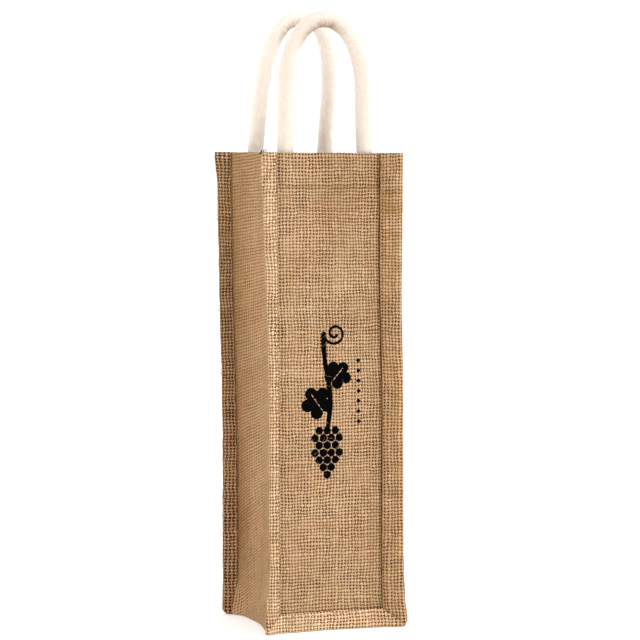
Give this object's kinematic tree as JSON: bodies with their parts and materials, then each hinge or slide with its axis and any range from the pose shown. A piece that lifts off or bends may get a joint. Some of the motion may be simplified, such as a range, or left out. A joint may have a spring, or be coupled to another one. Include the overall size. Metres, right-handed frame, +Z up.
{
  "type": "wine gift bag",
  "caption": "Tall one-bottle gift bag of woven jute with bound seams, an inner facing and two padded cotton rope handles.",
  "frame": {"origin": "middle of the bag's footprint, on the floor that it stands on", "axes": "+Z up, front panel towards -Y, +X to the right of someone facing the front"},
  "size_m": [0.1118, 0.1012, 0.4527],
  "materials": {
    "jute": "coarse plain weave, natural",
    "jute_binding": "coarse plain weave, folded edge",
    "cotton_rope": "fine braided cotton, matt",
    "padding": "loose padding cord",
    "thread": "twisted sewing thread",
    "ink": "screen print, matt black"
  },
  "bodies": {
    "back_side": {"back_panel": "jute", "left_gusset": "jute", "right_gusset": "jute", "base_panel": "jute", "back_binding": "jute_binding", "back_facing": "jute", "left_facing": "jute", "right_facing": "jute", "back_handle_left_end": "cotton_rope", "back_handle_right_end": "cotton_rope", "back_handle_stitches": "thread", "back_binding_stitches": "thread", "back_rim_stitches": "thread", "left_rim_stitches": "thread", "right_rim_stitches": "thread"},
    "front_side": {"front_panel": "jute", "front_binding": "jute_binding", "front_facing": "jute", "front_handle_left_end": "cotton_rope", "front_handle_right_end": "cotton_rope", "front_handle_stitches": "thread", "front_binding_stitches": "thread", "front_rim_stitches": "thread", "printed_motif": "ink"},
    "front_handle": {"front_handle_sleeve": "cotton_rope", "front_handle_core": "padding"},
    "back_handle": {"back_handle_sleeve": "cotton_rope", "back_handle_core": "padding"}
  },
  "joints": [
    {"name": "side_fold", "type": "slide", "parent": "back_side", "child": "front_side", "axis": [0, 1, 0], "range_m": [0, 0.04], "deforming": ["left_gusset", "right_gusset", "base_panel", "left_facing", "right_facing", "left_rim_stitches", "right_rim_stitches"]},
    {"name": "front_handle_bend", "type": "hinge", "parent": "front_side", "child": "front_handle", "pos_m": [0, -0.0357, 0.357], "axis": [1, 0, 0], "range_deg": [-2, 83], "stiffness_Nm_per_rad": 0.05},
    {"name": "back_handle_bend", "type": "hinge", "parent": "back_side", "child": "back_handle", "pos_m": [0, 0.0357, 0.357], "axis": [1, 0, 0], "range_deg": [-96, 0], "stiffness_Nm_per_rad": 0.05}
  ]
}
